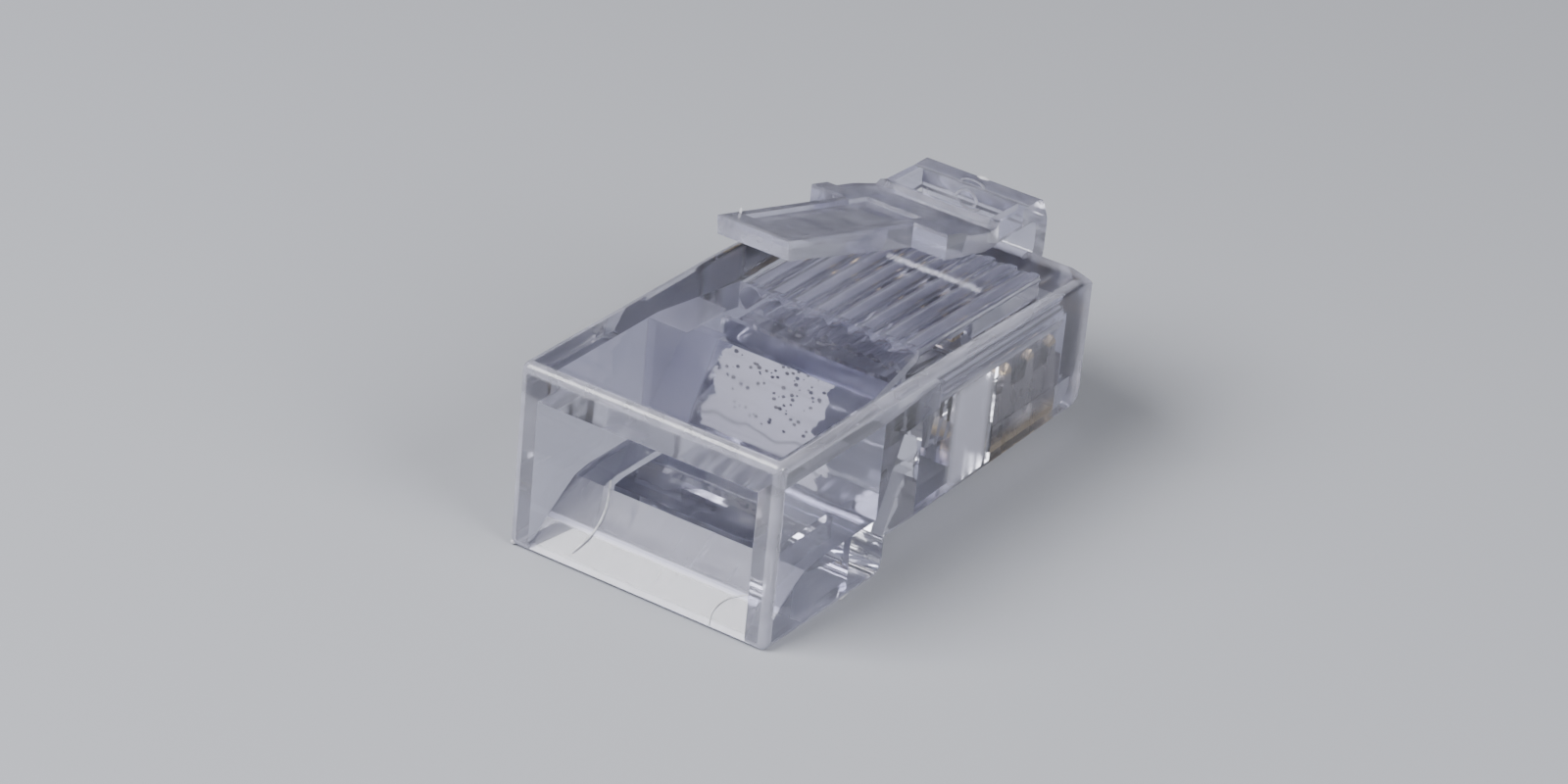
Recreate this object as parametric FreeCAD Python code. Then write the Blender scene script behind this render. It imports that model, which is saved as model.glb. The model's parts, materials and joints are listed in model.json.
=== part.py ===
import FreeCAD, Part

import math
import os

# An eight-position modular plug for round network cable, as it leaves the moulding and
# contact-loading machines: open cable entry, no wires, contacts still standing proud.
# Millimetres. X runs across the plug, +Y is the way it goes into a jack, +Z is up with the
# latch on top. The origin is under the middle of the whole plug, level with its underside.
# "Station" is the distance forward from the rear face. "Setback" is the distance back from
# the nose face.

# Housing envelope
plug_length = 21.6         # rear face to nose face
plug_width = 11.68
rear_height = 7.75         # underside of the thick rear part to the top face
rear_length = 7.83         # thick rear part, before the step up to the nose
step_height = 1.5          # nose underside above the rear underside, at the step
nose_rise = 0.23           # the underside rises this much more towards the nose face
nose_fall = 0.3            # the top face falls this much towards the nose face
nose_fall_setback = 9.5    # the fall starts this far behind the nose face
edge_round = 0.35          # moulded rounding on the outer edges
toe_round = 0.7            # lower front edges of the step and of the nose
comb_proud = 0.1           # the comb of contact ribs stands this far below the nose underside
comb_margin = 0.6          # the comb begins this far behind the contacts
nose_corner_width = 1.4    # lead-in cut off each upper corner of the nose
nose_corner_length = 1.4
nose_corner_height = 0.45

# Cable cavity
side_wall = 0.93           # at the cable entry
top_wall = 1.35
mouth_lip = 0.12           # thickness of the floor at the rear face
mouth_ridge_station = 1.2  # the steep part of the mouth ends in a crease here
mouth_ridge_height = 1.2
mouth_shelf_station = 2.75
mouth_shelf_height = 2.2
cavity_floor = 2.35
cavity_floor_station = 3.6
cavity_end = 7.4           # station where the floor turns up and the sides close in
wall_run = 1.6             # length of the sloping end wall
wire_floor = 5.3           # floor of the flat passage for the loose wires
wire_passage = 2.7         # length of that passage

# Wire channels
contact_count = 8
contact_pitch = 1.02
channel_setback = 1.2      # nose face to the blind ends of the channels
channel_diameter = 1.0
channel_join = 0.5         # height of the slot that joins neighbouring channels
channel_roof = 0.1         # the channels lie this far below the ceiling of the passage

# Strain-relief bars, held by their front edge until the plug is crimped
bar_half_width = 3.3
bar_slit = 0.28
bar_tip = 3.05             # station of the free rear edge
bar_tip_underside = 1.5
bar_root = 6.5
bar_root_underside = 0.8
bar_pocket_round = 0.5     # corner of the pocket under the bar's root
wire_bar_half_width = 4.1
wire_bar_start = 1.85      # free edge ahead of the end wall's top
wire_bar_tip_underside = 3.9
wire_bar_margin = 2.1      # root behind the contacts
wire_bar_root_underside = 3.5

# Contacts
blade_thickness = 0.32
blade_setback = 0.8        # nose face to the front edge of a contact
blade_length = 4.8
blade_proud = 0.35         # stands this far below the comb before crimping
blade_tip_height = 5.1
blade_shoulder_height = 4.0
blade_tine_count = 3
blade_tine_width = 0.62
blade_tine_taper = 0.25    # share of the width that a tine loses below its point
blade_foot_round = 0.45
blade_clearance = 0.02     # on each side of a blade in its slot
comb_slot_width = 0.58     # wider stretch for the wires of the jack
comb_slot_depth = 1.3

# Latch
latch_overhang = 1.33      # the bend stands this far ahead of the nose face
latch_root_height = 6.55   # centre of the root, level with the nose face
latch_thickness = 0.82     # of the bend and of the lever's free end
latch_root_clearance = 0.04
lever_width = 3.15
lever_setback = 15.8       # nose face to the lever's free end
lever_free_height = 13.12  # top of the free end above the rear underside
lever_end_slope = 0.12     # the end face leans forward by this much at its foot
pan_depth = 0.2            # shallow recess in the top of the lever and of the plate
pan_rim = 0.32
pan_margin = 1.35          # flat left at the lever's free end
shoulder_setback = 7.05
shoulder_width = 6.2
shoulder_depth = 1.05      # height of the faces that the jack catches
ear_length = 1.15          # raised outer corners behind the shoulder faces
ear_slope = 0.6            # run over which an ear falls to the plate's recess
plate_front_setback = 2.33
plate_front_rise = 0.11    # plate's front edge above the top of the bend
plate_lip = 0.3            # raised rim along the plate's front edge
plate_taper = 1.7          # length over which the plate narrows to the bend
bend_width = 5.3
bend_rise = 2.78           # root centre to the top of the bend
bend_lean = 0.55           # the bend's front leans back by this much at the top
bend_round = 0.8
window_half_width = 2.2
window_length = 1.98

overall_length = plug_length + latch_overhang
rear_y = -overall_length / 2
nose_y = rear_y + plug_length
nose_underside = step_height + nose_rise
nose_top = rear_height - nose_fall
ceiling = rear_height - top_wall
entry_half_width = plug_width / 2 - side_wall
end_wall_top = cavity_end + wall_run
channel_start = end_wall_top + wire_passage
channel_end = plug_length - channel_setback
channel_height = ceiling - channel_roof - channel_diameter / 2
channel_span = contact_pitch * contact_count
blade_end = plug_length - blade_setback
blade_start = blade_end - blade_length
comb_start = blade_start - comb_margin
lever_free_station = plug_length - lever_setback
shoulder_station = plug_length - shoulder_setback
plate_front_station = plug_length - plate_front_setback
bend_front_station = plug_length + latch_overhang
bend_height = latch_root_height + bend_rise
plate_front_height = bend_height + plate_front_rise
overshoot = 1.0            # how far cutting shapes run past the faces that they open


def vec(x, y, z):
    return FreeCAD.Vector(x, y, z)


def rounded_corner(corner, before, after):
    """The start, middle and end of the arc that rounds one corner of an outline."""
    here = FreeCAD.Vector(*corner[:2], 0)
    back = FreeCAD.Vector(*before[:2], 0) - here
    ahead = FreeCAD.Vector(*after[:2], 0) - here
    back.normalize()
    ahead.normalize()
    radius = corner[2]
    half = back.getAngle(ahead) / 2
    run = radius / math.tan(half)
    middle = back + ahead
    middle.normalize()
    reach = radius / math.sin(half) - radius
    return here + back * run, here + middle * reach, here + ahead * run


def outline(corners, place):
    """A closed face from (a, b) or (a, b, radius) corners; place turns (a, b) into a point."""
    edges = []
    turns = []
    count = len(corners)
    for i, corner in enumerate(corners):
        if len(corner) == 2:
            turns.append([FreeCAD.Vector(*corner, 0)])
        else:
            turns.append(rounded_corner(corner, corners[i - 1], corners[(i + 1) % count]))
    for i, turn in enumerate(turns):
        points = [place(p.x, p.y) for p in turn]
        if len(points) > 1:
            edges.append(Part.Arc(*points).toShape())
        following = turns[(i + 1) % count][0]
        edges.append(Part.LineSegment(points[-1], place(following.x, following.y)).toShape())
    return Part.Face(Part.Wire(edges))


def side_prism(corners, x_low, x_high):
    """Corners are (station, height) or (station, height, radius); runs from x_low to x_high."""
    face = outline(corners, lambda station, z: vec(x_low, rear_y + station, z))
    return face.extrude(vec(x_high - x_low, 0, 0))


def plan_prism(corners, z_low, z_high):
    """Corners are (x, station) or (x, station, radius); runs from z_low to z_high."""
    face = outline(corners, lambda x, station: vec(x, rear_y + station, z_low))
    return face.extrude(vec(0, 0, z_high - z_low))


def block(x_low, x_high, station_low, station_high, z_low, z_high):
    size = (x_high - x_low, station_high - station_low, z_high - z_low)
    return Part.makeBox(*size, vec(x_low, rear_y + station_low, z_low))


def contact_x(index):
    return (index - (contact_count - 1) / 2) * contact_pitch


def underside_at(station):
    """Height of the nose's sloping underside at a station."""
    return step_height + nose_rise * (station - rear_length) / (plug_length - rear_length)


def housing_outside():
    """The solid outer form: thick rear, step, nose, rounded edges, and the proud comb."""
    half = plug_width / 2
    corners = [
        (0, 0),
        (rear_length, 0),
        (rear_length, step_height),
        (plug_length, nose_underside),
        (plug_length, nose_top),
        (plug_length - nose_fall_setback, rear_height),
        (0, rear_height),
    ]
    body = side_prism(corners, -half, half)
    body = body.makeFillet(toe_round, [e for e in body.Edges if is_toe(e)])
    body = body.makeFillet(edge_round, [e for e in body.Edges if is_rounded(e)])
    comb_end = plug_length - toe_round
    comb_low = underside_at(comb_start) - comb_proud
    comb_high = underside_at(comb_end) - comb_proud
    comb_corners = [
        (comb_start, comb_low),
        (comb_end, comb_high),
        (comb_end, comb_high + toe_round),
        (comb_start, comb_low + toe_round),
    ]
    comb = side_prism(comb_corners, edge_round - half, half - edge_round)
    return body.fuse(comb).removeSplitter()


def is_toe(edge):
    """True for the lower front edge of the thick rear part and that of the nose."""
    box = edge.BoundBox
    ahead = rear_y + rear_length - 0.01
    of_rear_part = box.ZMax < 0.01 and box.YMin > ahead
    of_nose = box.ZMax < nose_underside + 0.01 and box.YMin > nose_y - 0.01
    return box.XLength > plug_width / 2 and (of_rear_part or of_nose)


def is_rounded(edge):
    """True for the outlines of both sides, and for the cross edges of the rear and nose top."""
    box = edge.BoundBox
    of_side = box.XLength < 0.01
    of_rear = box.YMax < rear_y + 0.01
    of_nose_top = box.YMin > nose_y - 0.01 and box.ZMin > nose_top - 0.01
    return of_side or of_rear or of_nose_top


def nose_corner_cut(side):
    """A tetrahedron that takes the lead-in off one upper corner of the nose."""
    x = side * plug_width / 2
    inner = vec(x - side * nose_corner_width, nose_y, nose_top)
    back = vec(x, nose_y - nose_corner_length, nose_top)
    low = vec(x, nose_y, nose_top - nose_corner_height)
    middle = (inner + back + low) * (1 / 3)
    face = Part.Face(Part.makePolygon([inner, back, low, inner]))
    return face.scaled(3, middle).extrude(vec(side, 1, 1.5))


def cable_cavity():
    """Bell mouth, cable space, sloping end wall and flat wire passage, as one cutter."""
    corners = [
        (-overshoot, mouth_lip),
        (0, mouth_lip),
        (mouth_ridge_station, mouth_ridge_height),
        (mouth_shelf_station, mouth_shelf_height),
        (cavity_floor_station, cavity_floor),
        (cavity_end, cavity_floor),
        (end_wall_top, wire_floor),
        (channel_start, wire_floor),
        (channel_start, ceiling),
        (-overshoot, ceiling),
    ]
    side = side_prism(corners, -entry_half_width, entry_half_width)
    narrow = channel_span / 2
    plan = [
        (-entry_half_width, -overshoot),
        (entry_half_width, -overshoot),
        (entry_half_width, cavity_end),
        (narrow, channel_start),
        (-narrow, channel_start),
        (-entry_half_width, cavity_end),
    ]
    return side.common(plan_prism(plan, 0, rear_height))


def wire_channels():
    """Eight round channels whose neighbours meet in a slot, so cusps are left between them."""
    radius = channel_diameter / 2
    start = channel_start - 0.05
    length = channel_end - start
    cutters = []
    for i in range(contact_count):
        base = vec(contact_x(i), rear_y + start, channel_height)
        cutters.append(Part.makeCylinder(radius, length, base, vec(0, 1, 0)))
    reach = contact_x(contact_count - 1)
    low = channel_height - channel_join / 2
    cutters.append(block(-reach, reach, start, channel_end, low, low + channel_join))
    return cutters[0].fuse(cutters[1:])


def cable_bar_gap():
    """What is open round the cable strain-relief bar: pocket below, slits behind and beside."""
    outer = bar_half_width + bar_slit
    pocket = side_prism(
        [
            (bar_tip - bar_slit, -overshoot),
            (bar_root, -overshoot),
            (bar_root, bar_root_underside, bar_pocket_round),
            (bar_tip, bar_tip_underside),
            (bar_tip - bar_slit, bar_tip_underside),
        ],
        -outer,
        outer,
    )
    top = cavity_floor + overshoot / 2
    behind = block(-outer, outer, bar_tip - bar_slit, bar_tip, bar_root_underside, top)
    beside = [
        block(x, x + bar_slit, bar_tip - bar_slit, bar_root, -overshoot, top)
        for x in (-outer, bar_half_width)
    ]
    return pocket.fuse([behind] + beside)


def wire_bar_gap():
    """The pocket under the wire strain-relief bar and the slit at its free edge."""
    tip = end_wall_top + wire_bar_start
    root = blade_start - wire_bar_margin
    slit_start = tip - bar_slit
    pocket = side_prism(
        [
            (slit_start, step_height - overshoot),
            (root, step_height - overshoot),
            (root, wire_bar_root_underside),
            (tip, wire_bar_tip_underside),
            (slit_start, wire_bar_tip_underside),
        ],
        -wire_bar_half_width,
        wire_bar_half_width,
    )
    slit = block(
        -wire_bar_half_width,
        wire_bar_half_width,
        slit_start,
        tip,
        wire_bar_root_underside,
        wire_floor + bar_slit,
    )
    return pocket.fuse(slit)


def contact_slots():
    """One stepped slot a contact: wide comb open to the nose face, narrow seat above it."""
    narrow = blade_thickness / 2 + blade_clearance
    wide = comb_slot_width / 2
    back = blade_start - blade_clearance
    floor = step_height - comb_proud
    slots = []
    for i in range(contact_count):
        x = contact_x(i)
        ahead = plug_length + overshoot
        comb_top = floor + comb_slot_depth
        slots.append(block(x - wide, x + wide, back, ahead, floor - overshoot, comb_top))
        front = blade_end + blade_clearance
        slots.append(block(x - narrow, x + narrow, back, front, floor, channel_height))
    return slots


def latch_root(radius, half_width):
    """A cylinder on the line where the latch turns, level with the nose face."""
    base = vec(-half_width, nose_y, latch_root_height)
    return Part.makeCylinder(radius, 2 * half_width, base, vec(1, 0, 0))


def housing():
    body = housing_outside()
    cutters = [
        cable_cavity(),
        wire_channels(),
        cable_bar_gap(),
        wire_bar_gap(),
        nose_corner_cut(1),
        nose_corner_cut(-1),
        latch_root(latch_thickness / 2 + latch_root_clearance, bend_width / 2 + latch_root_clearance),
    ]
    return body.cut(cutters + contact_slots()).removeSplitter()


def contact(index):
    """A stamped blade: rounded foot for the jack wire, pointed tines for the cable wires."""
    foot = underside_at(blade_start) - comb_proud - blade_proud
    corners = [
        (blade_start, foot, blade_foot_round),
        (blade_end, foot, blade_foot_round),
        (blade_end, blade_shoulder_height),
    ]
    spacing = blade_length / blade_tine_count
    half = blade_tine_width / 2
    neck = half * (1 - blade_tine_taper)
    for i in range(blade_tine_count):
        middle = blade_end - spacing * (i + 0.5)
        corners += [
            (middle + half, blade_shoulder_height),
            (middle + neck, blade_tip_height - half),
            (middle, blade_tip_height),
            (middle - neck, blade_tip_height - half),
            (middle - half, blade_shoulder_height),
        ]
    corners.append((blade_start, blade_shoulder_height))
    x = contact_x(index)
    return side_prism(corners, x - blade_thickness / 2, x + blade_thickness / 2)


def latch_line(station):
    """Height of the straight line along the latch's top, from the free end to the plate."""
    share = (station - lever_free_station) / (plate_front_station - lever_free_station)
    return lever_free_height + share * (plate_front_height - lever_free_height)


def latch_side(x_low, x_high):
    """The latch seen from the side: lever, plate, then the bend down to the root."""
    half = latch_thickness / 2
    inner = bend_front_station - latch_thickness
    under = bend_height - latch_thickness
    corners = [
        (lever_free_station, lever_free_height),
        (lever_free_station + lever_end_slope, lever_free_height - latch_thickness),
        (shoulder_station, latch_line(shoulder_station) - shoulder_depth),
        (plate_front_station, under),
        (inner, under, half),
        (inner, latch_root_height + half, half),
        (plug_length, latch_root_height + half),
        (plug_length, latch_root_height - half),
        (bend_front_station, latch_root_height - half, bend_round),
        (bend_front_station, bend_height - bend_lean * 2, bend_round),
        (bend_front_station - bend_lean, bend_height, half),
        (plate_front_station + window_length, bend_height),
        (plate_front_station, plate_front_height),
    ]
    return side_prism(corners, x_low, x_high)


def latch_recess():
    """The shallow recess in the top: inside the lever's rims, then the plate's full width."""
    start = lever_free_station + pan_margin
    ear_end = shoulder_station + ear_length
    lip_start = plate_front_station - plate_lip
    above = lever_free_height + overshoot
    pan = side_prism(
        [
            (start, latch_line(start)),
            (start + pan_depth, latch_line(start + pan_depth) - pan_depth),
            (ear_end, latch_line(ear_end) - pan_depth),
            (ear_end, above),
            (start, above),
        ],
        pan_rim - lever_width / 2,
        lever_width / 2 - pan_rim,
    )
    dish = side_prism(
        [
            (ear_end, latch_line(ear_end)),
            (ear_end + ear_slope, latch_line(ear_end + ear_slope) - pan_depth),
            (lip_start - pan_depth, latch_line(lip_start - pan_depth) - pan_depth),
            (lip_start, latch_line(lip_start)),
            (lip_start, above),
            (ear_end, above),
        ],
        -shoulder_width,
        shoulder_width,
    )
    return [pan, dish]


def latch():
    """Narrow finger lever, wide locking plate with two ears, window, bend and rounded root."""
    half = shoulder_width / 2
    lever = lever_width / 2
    bend = bend_width / 2
    taper_station = plate_front_station - plate_taper
    plan = [
        (-lever, lever_free_station),
        (lever, lever_free_station),
        (lever, shoulder_station),
        (half, shoulder_station),
        (half, taper_station, 0.8),
        (bend, plate_front_station, 0.8),
        (bend, bend_front_station),
        (-bend, bend_front_station),
        (-bend, plate_front_station, 0.8),
        (-half, taper_station, 0.8),
        (-half, shoulder_station),
        (-lever, shoulder_station),
    ]
    top = lever_free_height + overshoot
    shape = latch_side(-half, half).common(plan_prism(plan, 0, top))
    shape = shape.fuse(latch_root(latch_thickness / 2, bend))
    window = block(
        -window_half_width,
        window_half_width,
        plate_front_station,
        plate_front_station + window_length,
        bend_height - latch_thickness * 2,
        top,
    )
    return shape.cut([window] + latch_recess()).removeSplitter()


def save(name, shape):
    shape.exportStep("parts/" + name + ".step")


os.makedirs("parts", exist_ok=True)
save("housing", housing())
save("latch", latch())
for number in range(contact_count):
    save("contact_" + str(number + 1), contact(number))
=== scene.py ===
"""Looks of a clear eight-position modular plug: polycarbonate moulding with plated contacts.

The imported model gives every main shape. This script gives the plastic and the contacts their
finish, adds what moulding and handling leave on them, and sets the floor, lamps and camera.
Lengths are written in millimetres and turned to metres by MM. "Station" is the distance
forward from the plug's rear face.
"""

import json
import math

import bmesh
import bpy
from mathutils import Matrix, Vector, noise


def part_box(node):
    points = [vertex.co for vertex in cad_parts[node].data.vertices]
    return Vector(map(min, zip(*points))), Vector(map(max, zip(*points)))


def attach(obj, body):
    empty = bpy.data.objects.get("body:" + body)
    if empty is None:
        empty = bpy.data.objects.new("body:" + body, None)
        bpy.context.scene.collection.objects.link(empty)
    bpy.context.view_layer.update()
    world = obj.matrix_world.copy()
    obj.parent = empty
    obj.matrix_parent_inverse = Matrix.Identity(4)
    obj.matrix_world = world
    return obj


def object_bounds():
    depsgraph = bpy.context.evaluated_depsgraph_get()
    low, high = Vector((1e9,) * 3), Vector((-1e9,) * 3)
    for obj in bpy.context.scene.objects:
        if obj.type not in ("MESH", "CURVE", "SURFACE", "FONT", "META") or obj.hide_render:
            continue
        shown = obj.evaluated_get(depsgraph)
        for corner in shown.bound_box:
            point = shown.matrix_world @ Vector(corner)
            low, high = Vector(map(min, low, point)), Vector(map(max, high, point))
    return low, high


MM = 0.001

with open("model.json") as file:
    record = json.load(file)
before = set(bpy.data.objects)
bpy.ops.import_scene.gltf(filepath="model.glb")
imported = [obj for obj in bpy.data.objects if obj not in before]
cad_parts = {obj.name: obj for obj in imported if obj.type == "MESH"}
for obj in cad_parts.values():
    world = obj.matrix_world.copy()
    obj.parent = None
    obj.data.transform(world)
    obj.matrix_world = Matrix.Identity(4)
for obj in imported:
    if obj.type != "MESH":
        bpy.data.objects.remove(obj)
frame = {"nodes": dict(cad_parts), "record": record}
cad_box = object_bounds()


def in_mm(box):
    """The low and high corners of a box, in millimetres."""
    return [[length / MM for length in corner] for corner in box]


housing_low, housing_high = in_mm(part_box("housing"))
latch_rear = in_mm(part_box("latch"))[0][1]
contact_low, contact_high = in_mm(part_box("contact_1"))
rear = housing_low[1]
half_width = housing_high[0]
contact_pitch = 1.02
entry_half_width = in_mm(frame["record"]["physics"]["openings"][0]["box_m"])[1][0]

# Stations and heights inside the housing. The cavity's end wall slopes up from foot to top.
ramp_end, ramp_height = 2.75, 2.25
wall_foot, wall_foot_height = 7.4, 2.35
wall_top, wall_top_height = 9.0, 5.3
channel_start, channel_end = 11.7, 20.4
channel_floor = 5.0
cavity_ceiling = 6.4
nose_frost = 21.1


# Helpers


def linear(hex_code):
    """An sRGB hex colour as the linear RGBA that a shader socket takes."""
    channels = [int(hex_code[i : i + 2], 16) / 255 for i in (1, 3, 5)]
    return [c / 12.92 if c <= 0.04045 else ((c + 0.055) / 1.055) ** 2.4 for c in channels] + [1]


def add_node(tree, kind, *values, named=None, **settings):
    """Adds a node. Values go to its sockets in order, named ones by name or number.

    A value may be another node's output, and None leaves a socket as it is.
    """
    node = tree.nodes.new(kind)
    for setting, value in settings.items():
        setattr(node, setting, value)
    for key, value in [*enumerate(values), *(named or {}).items()]:
        if isinstance(value, bpy.types.NodeSocket):
            tree.links.new(value, node.inputs[key])
        elif value is not None:
            node.inputs[key].default_value = value
    return node.outputs


def new_material(name):
    material = bpy.data.materials.new(name)
    material.use_nodes = True
    material.node_tree.nodes.clear()
    return material, material.node_tree


far = 30.0  # a zone's limit this far out leaves that side of it open


def zone(tree, axes, fade, x=None, y=None, z=None):
    """1 between limits in mm, fading to 0 over fade around them. None leaves an axis free."""
    mask = 1.0
    for axis, limit in zip(axes, (x, y, z)):
        if limit is None:
            continue
        low, high = limit
        rise = add_node(
            tree, "ShaderNodeMapRange", axis, (low - fade) * MM, low * MM,
            interpolation_type="SMOOTHSTEP",
        )[0]
        fall = add_node(
            tree, "ShaderNodeMapRange", axis, high * MM, (high + fade) * MM, 1.0, 0.0,
            interpolation_type="SMOOTHSTEP",
        )[0]
        mask = add_node(tree, "ShaderNodeMath", mask, rise, operation="MULTIPLY")[0]
        mask = add_node(tree, "ShaderNodeMath", mask, fall, operation="MULTIPLY")[0]
    return mask


def stations(start, end):
    """A zone's limits along y, from two stations."""
    return rear + start, rear + end


def both_sides(inner):
    """A zone's limits along x for all that is farther out than inner, left and then right."""
    return (-far, -inner), (inner, far)


def grain(tree, place, spacing, detail):
    """Smooth random variation, 0 to 1, with its features spacing (mm) apart in x, y and z.

    Detail is how many finer layers are laid over it.
    """
    scale = [1 / (step * MM) for step in spacing]
    stretched = add_node(tree, "ShaderNodeMapping", named={"Vector": place, "Scale": scale})[0]
    return add_node(
        tree, "ShaderNodeTexNoise", named={"Vector": stretched, "Scale": 1.0, "Detail": detail}
    )[0]


# Camera

camera_target = (-0.884, 10.433, 4.162)  # x, station, z
camera_distance = 192.887
camera_azimuth = 31.842
camera_elevation = 28.224
camera_roll = 5.482
camera_lens = 116.781
camera_sensor = 36
camera_clip = 5


def add_camera():
    azimuth = math.radians(camera_azimuth)
    elevation = math.radians(camera_elevation)
    out = Vector((
        math.sin(azimuth) * math.cos(elevation),
        -math.cos(azimuth) * math.cos(elevation),
        math.sin(elevation),
    ))
    data = bpy.data.cameras.new("camera")
    data.sensor_width = camera_sensor
    data.lens = camera_lens
    data.clip_start = camera_clip * MM
    camera = bpy.data.objects.new("camera", data)
    roll = Matrix.Rotation(math.radians(camera_roll), 3, "Z")
    turn = out.to_track_quat("Z", "Y").to_matrix() @ roll
    x, station, z = camera_target
    place = (Vector((x, rear + station, z)) + out * camera_distance) * MM
    camera.matrix_world = Matrix.Translation(place) @ turn.to_4x4()
    bpy.context.collection.objects.link(camera)
    bpy.context.scene.camera = camera


# Floor and lamps

floor_colour = "#ADAFB6"
floor_half = 1500
world_colour = "#C3C5CF"
world_strength = 0.16
clear_bounces = 20  # light passes many clear faces inside the plug before it gets out again
glossy_bounces = 10


def add_floor():
    mesh = bpy.data.meshes.new("floor")
    level = cad_box[0][2]
    reach = floor_half * MM
    corners = [(x * reach, y * reach, level) for x, y in ((-1, -1), (1, -1), (1, 1), (-1, 1))]
    mesh.from_pydata(corners, [], [(0, 1, 2, 3)])
    floor = bpy.data.objects.new("floor", mesh)
    bpy.context.collection.objects.link(floor)
    # Matt paper, which looks even because its fibres are too fine to show.
    material, tree = new_material("matt paper sweep")
    shade = add_node(tree, "ShaderNodeBsdfPrincipled", named={
        "Base Color": linear(floor_colour),
        "Roughness": 0.85,
    })[0]
    add_node(tree, "ShaderNodeOutputMaterial", shade)
    mesh.materials.append(material)


def add_lamp(name, place, target, size, power):
    """A softbox: place, target and size in mm, power in watts."""
    data = bpy.data.lights.new(name, "AREA")
    data.shape = "RECTANGLE"
    data.size, data.size_y = size[0] * MM, size[1] * MM
    data.energy = power
    lamp = bpy.data.objects.new(name, data)
    aim = (Vector(target) - Vector(place)).to_track_quat("-Z", "Y").to_matrix().to_4x4()
    lamp.matrix_world = Matrix.Translation(Vector(place) * MM) @ aim
    bpy.context.collection.objects.link(lamp)


def add_world():
    world = bpy.data.worlds.new("studio")
    bpy.context.scene.world = world
    world.use_nodes = True
    tree = world.node_tree
    tree.nodes.clear()
    glow = add_node(tree, "ShaderNodeBackground", linear(world_colour), world_strength)[0]
    add_node(tree, "ShaderNodeOutputWorld", glow)
    bpy.context.scene.cycles.max_bounces = clear_bounces
    bpy.context.scene.cycles.transmission_bounces = clear_bounces
    bpy.context.scene.cycles.glossy_bounces = glossy_bounces


# Materials

polycarbonate_ior = 1.585
frost_roughness = 0.3  # what full frost adds to the roughness

# Grain mostly stays from 0.3 to 0.7. These are its values that count as the least and the most.
# A Map Range node takes such a pair, and then the least and the most that it gives.
grain_span = (0.3, 0.7)
haze_span = (0.35, 0.7)
rough_span = (0.3, 0.75)
streak_span = (0.5, 0.75)
grit_span = (0.35, 0.65)
crown_span = (-0.2, 0.6)  # of a cosine

# A Mix node's colour sockets go by number, because its other kinds have the same names.
mix_share, mix_from, mix_to, mix_result = 0, 6, 7, 2

# A Math node with these settings adds a share of its first value and stays from 0 to 1.
add_share = {"operation": "MULTIPLY_ADD", "use_clamp": True}


def clear_shader(tree, colour, roughness, frost, normal):
    """Finishes a clear plastic: frost is the share of the surface that scatters light."""
    clearness = add_node(tree, "ShaderNodeMath", 1.0, frost, operation="SUBTRACT")[0]
    shade = add_node(tree, "ShaderNodeBsdfPrincipled", named={
        "Base Color": colour,
        "Roughness": roughness,
        "IOR": polycarbonate_ior,
        "Transmission Weight": clearness,
        "Normal": normal,
    })[0]
    add_node(tree, "ShaderNodeOutputMaterial", shade)


def moulded_skin(tree, place, clouds, frost, roughness, wave_spacing, wave_height):
    """What moulding leaves on a face: more roughness where it is frosted, and low waves."""
    rough = add_node(tree, "ShaderNodeMapRange", clouds, *rough_span, *roughness)[0]
    rough = add_node(tree, "ShaderNodeMath", frost, frost_roughness, rough, **add_share)[0]
    waves = grain(tree, place, wave_spacing, detail=1.0)
    normal = add_node(tree, "ShaderNodeBump", named={
        "Strength": 0.5,
        "Distance": wave_height * MM,
        "Height": waves,
    })[0]
    return rough, normal


def frosted_zones(tree, place, axes):
    """Where the tool leaves the housing frosted: each zone, with the share that it scatters."""
    # Polishing lines run down the entry ramp. Real ones are a few hundredths of a millimetre
    # wide, so they are drawn wider, to show.
    brushed = grain(tree, place, (0.16, 6.0, 6.0), detail=1.0)
    ramp_share = add_node(tree, "ShaderNodeMapRange", brushed, *grain_span, 0.2, 0.26)[0]
    # Each wire channel's crown, above its contact, is dulled by the pin that formed it.
    turn = add_node(
        tree, "ShaderNodeMath", axes["X"], math.tau / (contact_pitch * MM), math.pi,
        operation="MULTIPLY_ADD",
    )[0]
    crown = add_node(tree, "ShaderNodeMath", turn, operation="COSINE")[0]
    crown_share = add_node(tree, "ShaderNodeMapRange", crown, *crown_span, 0.0, 0.4)[0]

    entry = (-entry_half_width, entry_half_width)
    row = (-4.2, 4.2)
    rear_face = stations(-far, 0.05)
    in_channels = stations(channel_start, channel_end)
    in_crowns = stations(channel_start + 0.4, channel_end - 0.2)
    by_wall = stations(wall_foot - 0.5, wall_top + 0.4)
    behind_contacts = (contact_low[1] - 3.8, contact_low[1] - 2.0)

    posts = [
        (zone(tree, axes, fade=0.2, x=x, y=rear_face, z=(0, cavity_ceiling)), 0.13)
        for x in both_sides(entry_half_width)
    ]
    channels = zone(tree, axes, fade=0.2, x=row, y=in_channels, z=(channel_floor, cavity_ceiling))
    crowns = zone(tree, axes, fade=0.15, x=row, y=in_crowns, z=(5.85, cavity_ceiling))
    nose = zone(tree, axes, fade=0.6, y=stations(nose_frost, far))
    ramp = zone(
        tree, axes, fade=0.04, x=entry, y=stations(-far, ramp_end), z=(-far, ramp_height)
    )
    crease = zone(tree, axes, fade=0.08, x=entry, y=stations(1.14, 1.26), z=(1.0, 1.4))
    corner = zone(tree, axes, fade=0.2, x=(-4.9, -3.2), y=by_wall, z=(2.4, 6.3))
    panels = [
        (zone(tree, axes, fade=0.8, x=x, y=behind_contacts, z=(2.4, 5.7)), 0.55)
        for x in both_sides(half_width - 0.04)
    ]
    return [
        *posts,
        (channels, 0.1),
        (crowns, crown_share),
        (nose, 0.3),
        (ramp, ramp_share),
        (crease, 0.7),
        (corner, 0.55),
        *panels,
    ]


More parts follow.
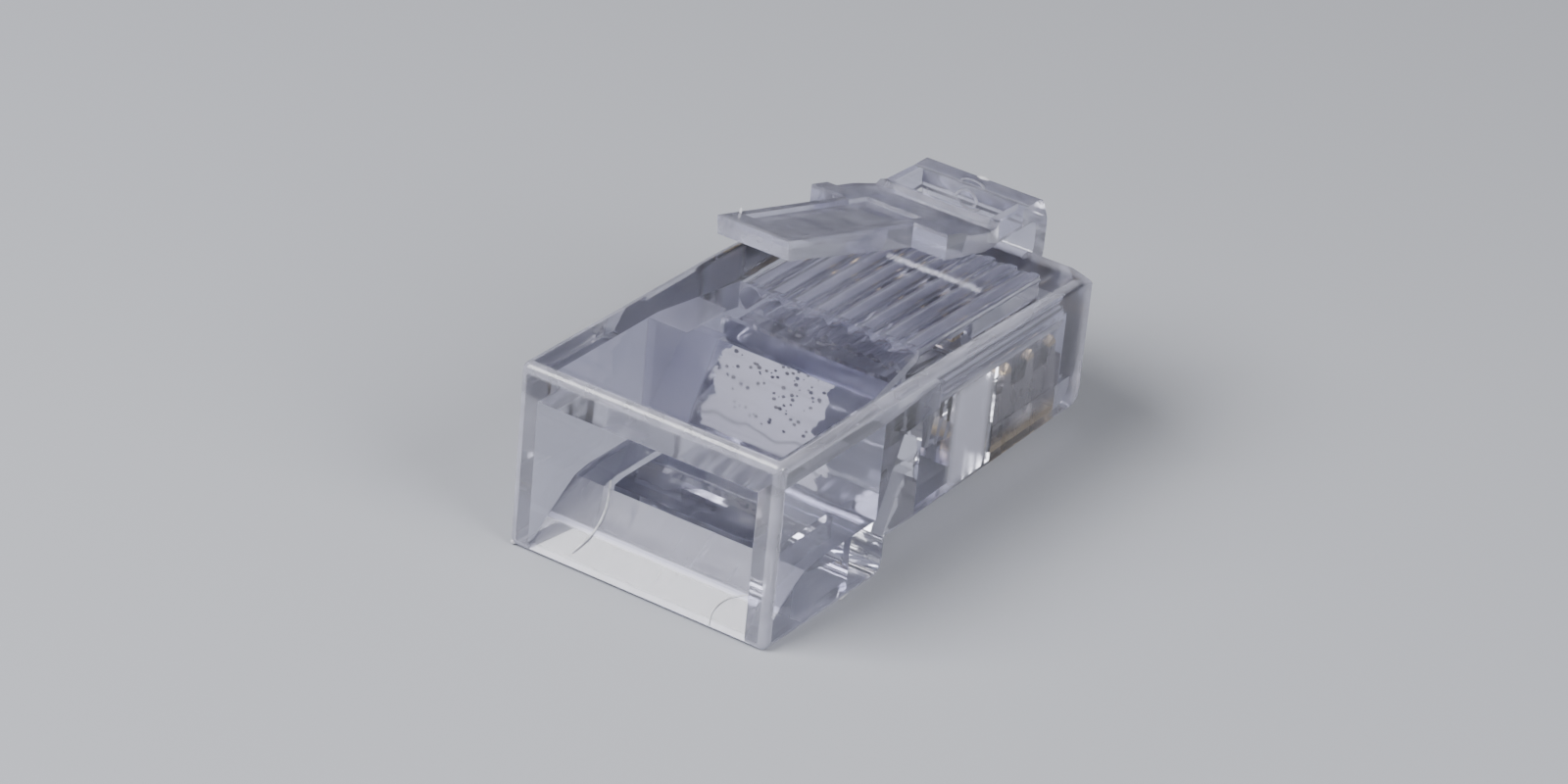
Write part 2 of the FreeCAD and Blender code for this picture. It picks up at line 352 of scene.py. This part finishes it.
def moulded_edges(tree, axes):
    """The housing's outer edges. An edge is where two outer faces are both near."""
    near_faces = [
        *[zone(tree, axes, fade=0.15, x=x) for x in both_sides(half_width - 0.29)],
        zone(tree, axes, fade=0.15, y=stations(-far, 0.3)),
        zone(tree, axes, fade=0.2, z=(housing_high[2] - 0.3, far)),
        zone(tree, axes, fade=0.15, z=(-far, 0.25)),
    ]
    near = 0.0
    for face in near_faces:
        near = add_node(tree, "ShaderNodeMath", face, near, operation="ADD")[0]
    one_face, two_faces = 1.2, 1.9
    return add_node(tree, "ShaderNodeMapRange", near, one_face, two_faces, 0.0, 1.0)[0]


def end_wall_patch(tree, place, axes):
    """The white patch on the cavity's sloping end wall, with a ragged edge."""
    ragged = 0.3 * MM
    edge = grain(tree, place, (0.5, 0.5, 0.5), detail=4.0)
    edge = add_node(tree, "ShaderNodeMapRange", edge, *grain_span, -ragged, ragged)[0]
    across = add_node(tree, "ShaderNodeMath", edge, axes["X"], operation="ADD")[0]
    return zone(
        tree, (across, axes["Y"], axes["Z"]), fade=0.04,
        x=(-2.65, 2.2),
        y=stations(wall_foot + 0.05, wall_top),
        z=(wall_foot_height + 0.15, wall_top_height - 0.03),
    )


def patch_white_colour(tree, place, axes, clouds):
    """The end wall patch's painted white, with dirty streaks and one wavering crack across it."""
    # Real streaks are a few hundredths of a millimetre high, so they are drawn higher, to show.
    streaks = grain(tree, place, (3.0, 0.12, 0.12), detail=2.0)
    dirt = add_node(tree, "ShaderNodeMapRange", streaks, *streak_span, 0.0, 0.2)[0]
    waver = 0.9 * MM
    height = add_node(
        tree, "ShaderNodeMath", clouds, waver, axes["Z"], operation="MULTIPLY_ADD"
    )[0]
    crack = zone(tree, (None, None, height), fade=0.05, z=(3.42, 3.46))
    dirt = add_node(tree, "ShaderNodeMath", crack, 0.7, dirt, **add_share)[0]
    clean, dirty = linear("#FBFAFA"), linear("#96949A")
    return add_node(
        tree, "ShaderNodeMix", named={mix_share: dirt, mix_from: clean, mix_to: dirty},
        data_type="RGBA",
    )[mix_result]


def housing_plastic():
    """Clear injection-moulded polycarbonate, which looks like glass with a faint lilac cast.

    The tool's polish is patchy: the cable entry, the wire channels and the nose come out
    frosted. A white patch is painted on the cavity's sloping end wall, with grit and a crack.
    """
    material, tree = new_material("clear moulded polycarbonate")
    place = add_node(tree, "ShaderNodeTexCoord")["Object"]
    axes = add_node(tree, "ShaderNodeSeparateXYZ", place)
    # Haze comes in clouds of 2 to 3 mm, where the plastic flowed, and scuffs are 1 to 2 mm.
    clouds = grain(tree, place, (2.2, 2.6, 2.2), detail=2.0)
    scuffs = grain(tree, place, (0.9, 2.0, 0.9), detail=1.0)

    frost = add_node(tree, "ShaderNodeMapRange", clouds, *haze_span, 0.0, 0.05)[0]
    for mask, share in frosted_zones(tree, place, axes):
        frost = add_node(tree, "ShaderNodeMath", mask, share, frost, **add_share)[0]
    edges = moulded_edges(tree, axes)
    milky = add_node(tree, "ShaderNodeMapRange", scuffs, *grain_span, 0.2, 0.36)[0]
    frost = add_node(tree, "ShaderNodeMath", edges, milky, frost, **add_share)[0]
    patch = end_wall_patch(tree, place, axes)
    frost = add_node(tree, "ShaderNodeMath", frost, patch, operation="MAXIMUM")[0]

    clear, frosted = linear("#ECECF8"), linear("#BEBED6")
    colour = add_node(
        tree, "ShaderNodeMix", named={mix_share: frost, mix_from: clear, mix_to: frosted},
        data_type="RGBA",
    )[mix_result]
    # The end wall patch is painted plain white over the plastic's own colour, and scatters fully.
    patch_white = patch_white_colour(tree, place, axes, clouds)
    colour = add_node(
        tree, "ShaderNodeMix", named={mix_share: patch, mix_from: colour, mix_to: patch_white},
        data_type="RGBA",
    )[mix_result]
    rough, normal = moulded_skin(
        tree, place, clouds, frost, roughness=(0.01, 0.05),
        wave_spacing=(1.5, 3.5, 1.5), wave_height=0.012,
    )
    clear_shader(tree, colour, rough, frost, normal)
    return material


def latch_plastic():
    """The same polycarbonate where it is handled and flexed: hazier, with a frosted free end."""
    material, tree = new_material("hazy moulded polycarbonate")
    place = add_node(tree, "ShaderNodeTexCoord")["Object"]
    axes = add_node(tree, "ShaderNodeSeparateXYZ", place)
    # Haze comes in clouds of 1 to 2 mm, which handling has worn finer than the housing's.
    clouds = grain(tree, place, (1.4, 1.8, 1.4), detail=4.0)
    frost = add_node(tree, "ShaderNodeMapRange", clouds, *haze_span, 0.05, 0.16)[0]
    free_end = zone(tree, axes, fade=0.3, y=(latch_rear - far, latch_rear + 0.15))
    frost = add_node(tree, "ShaderNodeMath", free_end, 0.2, frost, **add_share)[0]
    clear, frosted = linear("#E8E8F6"), linear("#ACACC4")
    colour = add_node(
        tree, "ShaderNodeMix", named={mix_share: frost, mix_from: clear, mix_to: frosted},
        data_type="RGBA",
    )[mix_result]
    rough, normal = moulded_skin(
        tree, place, clouds, frost, roughness=(0.03, 0.12),
        wave_spacing=(1.2, 2.5, 1.2), wave_height=0.015,
    )
    clear_shader(tree, colour, rough, frost, normal)
    return material


def flash_plastic():
    """Thin slivers and ridges of the same polycarbonate, milky because they scatter light."""
    material, tree = new_material("milky polycarbonate flash")
    place = add_node(tree, "ShaderNodeTexCoord")["Object"]
    # A sliver is torn into bumps about as far apart as it is wide.
    bumps = grain(tree, place, (0.3, 0.3, 0.3), detail=3.0)
    frost = add_node(tree, "ShaderNodeMapRange", bumps, *grain_span, 0.45, 0.75)[0]
    clear, frosted = linear("#F8F8FC"), linear("#F0F0F6")
    colour = add_node(
        tree, "ShaderNodeMix", named={mix_share: frost, mix_from: clear, mix_to: frosted},
        data_type="RGBA",
    )[mix_result]
    normal = add_node(tree, "ShaderNodeBump", named={
        "Strength": 0.4,
        "Distance": 0.02 * MM,
        "Height": bumps,
    })[0]
    clear_shader(tree, colour, roughness=0.2, frost=frost, normal=normal)
    return material


def grit_material():
    """Moulding grit and dust caught on the plastic: matt grey-brown specks."""
    material, tree = new_material("moulding grit")
    place = add_node(tree, "ShaderNodeTexCoord")["Object"]
    # The shade changes about once from one speck to the next.
    shades = grain(tree, place, (0.35, 0.35, 0.35), detail=2.0)
    share = add_node(tree, "ShaderNodeMapRange", shades, *grit_span, 0.0, 1.0)[0]
    dark, pale = linear("#62606A"), linear("#9A9795")
    colour = add_node(
        tree, "ShaderNodeMix", named={mix_share: share, mix_from: dark, mix_to: pale},
        data_type="RGBA",
    )[mix_result]
    shade = add_node(tree, "ShaderNodeBsdfPrincipled", named={
        "Base Color": colour,
        "Roughness": 0.7,
    })[0]
    add_node(tree, "ShaderNodeOutputMaterial", shade)
    return material


def contact_plating():
    """Stamped and plated phosphor bronze, which looks like satin metal.

    It is nickel grey on the body, and gold on the foot that meets the jack and on the tips
    that pierce the wires.
    """
    material, tree = new_material("gold-plated phosphor bronze")
    place = add_node(tree, "ShaderNodeTexCoord")["Object"]
    axes = add_node(tree, "ShaderNodeSeparateXYZ", place)
    # Drag marks from the stamping die. Real ones are a few hundredths of a millimetre apart,
    # so they are drawn wider, to show.
    drag = grain(tree, place, (0.3, 0.6, 1.5), detail=2.0)
    rough = add_node(tree, "ShaderNodeMapRange", drag, *grain_span, 0.22, 0.3)[0]
    foot = zone(tree, axes, fade=0.6, z=(-far, contact_low[2] + 0.5))
    tips = zone(tree, axes, fade=0.15, z=(contact_high[2] - 0.35, far))
    gilt = add_node(tree, "ShaderNodeMath", foot, tips, operation="MAXIMUM")[0]
    nickel, gold = linear("#A59F94"), linear("#D6C08F")
    colour = add_node(
        tree, "ShaderNodeMix", named={mix_share: gilt, mix_from: nickel, mix_to: gold},
        data_type="RGBA",
    )[mix_result]
    shade = add_node(tree, "ShaderNodeBsdfPrincipled", named={
        "Base Color": colour,
        "Metallic": 1.0,
        "Roughness": rough,
    })[0]
    add_node(tree, "ShaderNodeOutputMaterial", shade)
    return material


def give_finish(name, material):
    mesh = frame["nodes"][name].data
    mesh.materials.clear()
    mesh.materials.append(material)


clear_plastic = housing_plastic()
hazy_plastic = latch_plastic()
plating = contact_plating()
flash = flash_plastic()
grit = grit_material()


# Small pieces that follow a path or lie scattered on a surface

thread_sides = 8
thread_steps = 12  # points along a thread for each point of its path
speck_shape = (1.0, 0.7, 0.35)
random_smallest, random_largest, random_size = 2, 3, 1  # a Random Value node's number sockets

# A lump of flash, as shares of its half-sizes: its smooth body, and the bumps on its skin
lump_body = 0.82
lump_bumps = 0.18
bumps_per_radius = 1.7


def geometry_tree(name, sizes):
    """A geometry node tree with named inputs. Returns it and its inputs' outputs."""
    tree = bpy.data.node_groups.new(name, "GeometryNodeTree")
    tree.interface.new_socket("Geometry", in_out="INPUT", socket_type="NodeSocketGeometry")
    for size_name, kind in sizes.items():
        tree.interface.new_socket(size_name, in_out="INPUT", socket_type=kind)
    tree.interface.new_socket("Geometry", in_out="OUTPUT", socket_type="NodeSocketGeometry")
    return tree, add_node(tree, "NodeGroupInput")


def finish_tree(tree, geometry, finish):
    """Ends a tree with plain geometry that carries its finish."""
    real = add_node(tree, "GeometryNodeRealizeInstances", geometry)[0]
    finished = add_node(tree, "GeometryNodeSetMaterial", real, named={"Material": finish})[0]
    add_node(tree, "NodeGroupOutput", finished)
    return tree


def thread_tree():
    """Sweeps a round thread along the edges of a path."""
    tree, given = geometry_tree("thread along a path", {
        "Thickness": "NodeSocketFloat",
        "Points": "NodeSocketInt",
        "Finish": "NodeSocketMaterial",
    })
    path = add_node(tree, "GeometryNodeMeshToCurve", given["Geometry"])[0]
    path = add_node(tree, "GeometryNodeCurveSplineType", path, spline_type="CATMULL_ROM")[0]
    path = add_node(
        tree, "GeometryNodeResampleCurve", path, named={"Count": given["Points"]}
    )[0]
    radius = add_node(tree, "ShaderNodeMath", given["Thickness"], 0.5, operation="MULTIPLY")[0]
    ring = add_node(
        tree, "GeometryNodeCurvePrimitiveCircle",
        named={"Resolution": thread_sides, "Radius": radius},
    )[0]
    swept = add_node(tree, "GeometryNodeCurveToMesh", path, ring, named={"Fill Caps": True})[0]
    return finish_tree(tree, swept, given["Finish"])


def grit_tree():
    """Scatters flattened specks of random size over a sheet."""
    tree, given = geometry_tree("scattered grit", {
        "Density": "NodeSocketFloat",
        "Smallest": "NodeSocketFloat",
        "Largest": "NodeSocketFloat",
        "Seed": "NodeSocketInt",
        "Finish": "NodeSocketMaterial",
    })
    spots = add_node(
        tree, "GeometryNodeDistributePointsOnFaces", given["Geometry"],
        named={"Density": given["Density"], "Seed": given["Seed"]},
    )
    speck = add_node(tree, "GeometryNodeMeshIcoSphere", named={"Radius": 1.0, "Subdivisions": 2})
    speck = add_node(tree, "GeometryNodeTransform", speck[0], named={"Scale": speck_shape})[0]
    size = add_node(tree, "FunctionNodeRandomValue", named={
        random_smallest: given["Smallest"],
        random_largest: given["Largest"],
        "Seed": given["Seed"],
    })[random_size]
    placed = add_node(
        tree, "GeometryNodeInstanceOnPoints", spots[0],
        named={"Instance": speck, "Rotation": spots["Rotation"], "Scale": size},
    )[0]
    return finish_tree(tree, placed, given["Finish"])


threads = thread_tree()
specks = grit_tree()


def grow(name, mesh, tree, sizes):
    """Runs a geometry node tree on a mesh and keeps the result as a plain object."""
    seedling = bpy.data.objects.new(name + "_path", mesh)
    bpy.context.collection.objects.link(seedling)
    modifier = seedling.modifiers.new("grow", "NODES")
    modifier.node_group = tree
    for item in tree.interface.items_tree:
        if item.in_out == "INPUT" and item.name in sizes:
            modifier[item.identifier] = sizes[item.name]
    evaluated = seedling.evaluated_get(bpy.context.evaluated_depsgraph_get())
    grown = bpy.data.meshes.new_from_object(evaluated)
    bpy.data.objects.remove(seedling)
    piece = bpy.data.objects.new(name, grown)
    bpy.context.collection.objects.link(piece)
    return piece


def path_mesh(name, points, closed=False):
    mesh = bpy.data.meshes.new(name)
    count = len(points)
    edges = [(i, (i + 1) % count) for i in range(count if closed else count - 1)]
    mesh.from_pydata([Vector(point) * MM for point in points], edges, [])
    return mesh


def add_thread(name, body, points, thickness, closed=False):
    """A thread of flash along a path."""
    path = path_mesh(name, points, closed)
    piece = grow(name, path, threads, {
        "Thickness": thickness * MM,
        "Points": thread_steps * len(points),
        "Finish": flash,
    })
    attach(piece, body)


def add_grit(name, across, lower, upper, count, smallest, largest, seed):
    """Specks on a flat sheet: across is its two ends in x, lower and upper its edges in y and z."""
    left, right = across
    corners = [(left, *lower), (right, *lower), (right, *upper), (left, *upper)]
    sheet = bpy.data.meshes.new(name)
    sheet.from_pydata([Vector(corner) * MM for corner in corners], [], [(0, 1, 2, 3)])
    piece = grow(name, sheet, specks, {
        "Density": count / sheet.polygons[0].area,
        "Smallest": smallest * MM / 2,
        "Largest": largest * MM / 2,
        "Seed": seed,
        "Finish": grit,
    })
    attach(piece, "plug")


def add_nubs(name, body, nubs):
    """Small lumps of flash: each has a middle and half-sizes, and an uneven skin."""
    lumps = bmesh.new()
    for middle, half in nubs:
        made = bmesh.ops.create_icosphere(lumps, subdivisions=3, radius=1.0)["verts"]
        for vertex in made:
            bumps = noise.noise(vertex.co * bumps_per_radius + Vector(middle))
            swell = lump_body + lump_bumps * bumps
            vertex.co = (Vector(middle) + Vector(half) * vertex.co * swell) * MM
    mesh = bpy.data.meshes.new(name)
    lumps.to_mesh(mesh)
    lumps.free()
    mesh.shade_smooth()
    mesh.materials.append(flash)
    piece = bpy.data.objects.new(name, mesh)
    bpy.context.collection.objects.link(piece)
    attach(piece, body)


# The plug in its studio

add_camera()
add_floor()
add_world()
add_lamp(
    "key softbox", place=(-110, -190, 230), target=(0, 0, 0), size=(220, 180), power=1.75
)
add_lamp(
    "fill softbox", place=(240, -40, 170), target=(0, 0, 4), size=(160, 160), power=0.72
)

for node_name in frame["nodes"]:
    if node_name.startswith("contact"):
        give_finish(node_name, plating)
    else:
        give_finish(node_name, hazy_plastic if node_name == "latch" else clear_plastic)

# A hair of plastic lies down the cable entry's ramp, and the ramp's far side is creased.
hair_path = [
    (-3.52, rear + 3.1, 2.31),
    (-2.94, rear + 2.06, 1.79),
    (-2.81, rear + 1.14, 1.19),
    (-3.19, rear + 0.39, 0.5),
]
crease_path = [
    (3.31, rear + 0.06, 0.2),
    (3.17, rear + 0.44, 0.54),
    (3.44, rear + 0.92, 0.98),
    (4.48, rear + 1.47, 1.4),
]
add_thread("ramp_hair", "plug", hair_path, thickness=0.1)
add_thread("ramp_crease", "plug", crease_path, thickness=0.06)

# The gate leaves a ring inside the latch's bend.
gate_x, gate_y, gate_z = -0.36, rear + 22.05, 8.36
gate_radius = 0.5
gate_points = 16
gate_ring = [
    (gate_x + gate_radius * math.cos(angle), gate_y, gate_z + gate_radius * math.sin(angle))
    for angle in [math.tau * i / gate_points for i in range(gate_points)]
]
add_thread("gate_mark", "latch", gate_ring, thickness=0.14, closed=True)

# Grit sits on the sloping end wall, except near its foot.
bare_share = 0.3
foot, top = (rear + wall_foot, wall_foot_height), (rear + wall_top, wall_top_height)
grit_foot = [low + bare_share * (high - low) for low, high in zip(foot, top)]
add_grit(
    "end_wall_grit", across=(-2.4, 2.0), lower=grit_foot, upper=top,
    count=80, smallest=0.06, largest=0.22, seed=7,
)

# It also lies along the mouths of the wire channels.
mouth_floor = channel_floor + 0.32
add_grit(
    "channel_mouth_grit", across=(-2.6, 3.9),
    lower=(rear + channel_start - 0.4, mouth_floor),
    upper=(rear + channel_start + 0.1, mouth_floor),
    count=34, smallest=0.1, largest=0.32, seed=3,
)

# Flash stands on two lower edges of the housing, on the lever's end and on the latch's bend.
add_nubs("housing_flash", "plug", [
    ((-5.66, rear + 0.17, 0.13), (0.17, 0.16, 0.12)),
    ((5.7, rear + 5.2, 0.14), (0.13, 0.45, 0.13)),
])
add_nubs("latch_flash", "latch", [
    ((-1.45, rear + 7.15, 12.84), (0.07, 0.05, 0.16)),
    ((0.0, rear + 22.2, 9.33), (0.32, 0.12, 0.1)),
])
